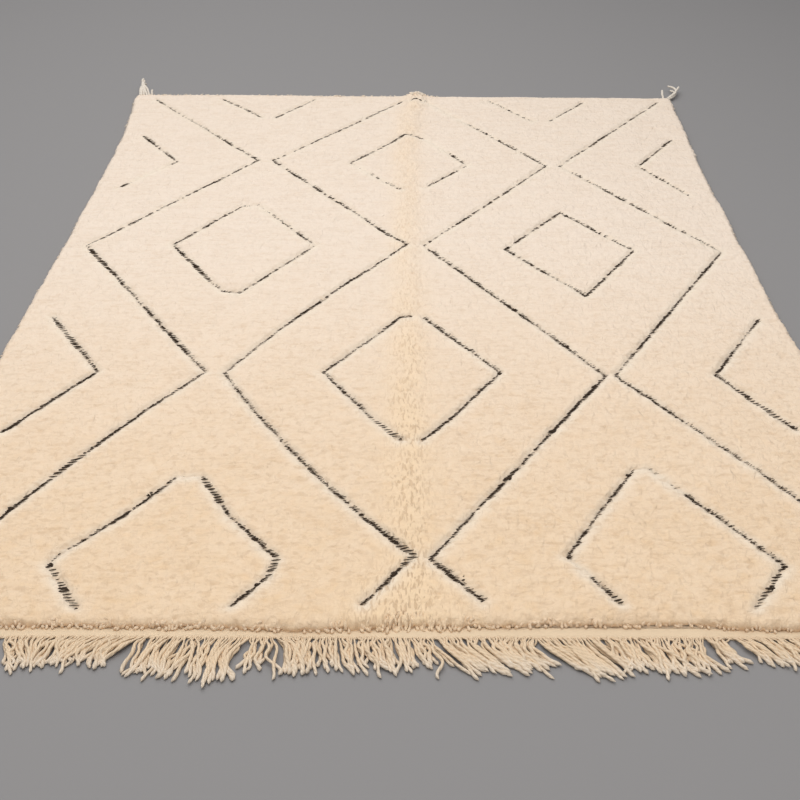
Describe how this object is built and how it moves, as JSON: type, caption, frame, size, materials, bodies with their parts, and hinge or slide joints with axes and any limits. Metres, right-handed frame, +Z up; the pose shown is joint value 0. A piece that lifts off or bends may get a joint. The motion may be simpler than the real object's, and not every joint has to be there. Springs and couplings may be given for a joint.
{
  "type": "beni ourain rug",
  "caption": "Cream hand-knotted wool pile rug lying flat, with sunken dark zigzag and diamond lines, a woven end band, a warp fringe and yarn tassels at the far corners.",
  "frame": {"origin": "on the surface that the rug lies on, under the middle of the box round the whole thing", "axes": "+X across the rug, towards the right as seen from the fringed end; +Y along the rug, from the fringe to the plain end; +Z up, out of the pile"},
  "size_m": [2.0806, 3.333, 0.044],
  "materials": {
    "pile_wool": "undyed cream wool in a dense cut pile, matt, with slightly warmer tips along the fold",
    "warp_yarn": "plied ivory wool yarn, matt",
    "ground_weave": "flat-woven ivory wool, matt",
    "dark_weft": "natural black-brown wool weft laid in the sunken lines, matt"
  },
  "bodies": {
    "root": {"rug": "pile_wool", "fringe": "warp_yarn", "corner_tassel_left": "warp_yarn", "corner_tassel_right": "warp_yarn"}
  },
  "joints": []
}
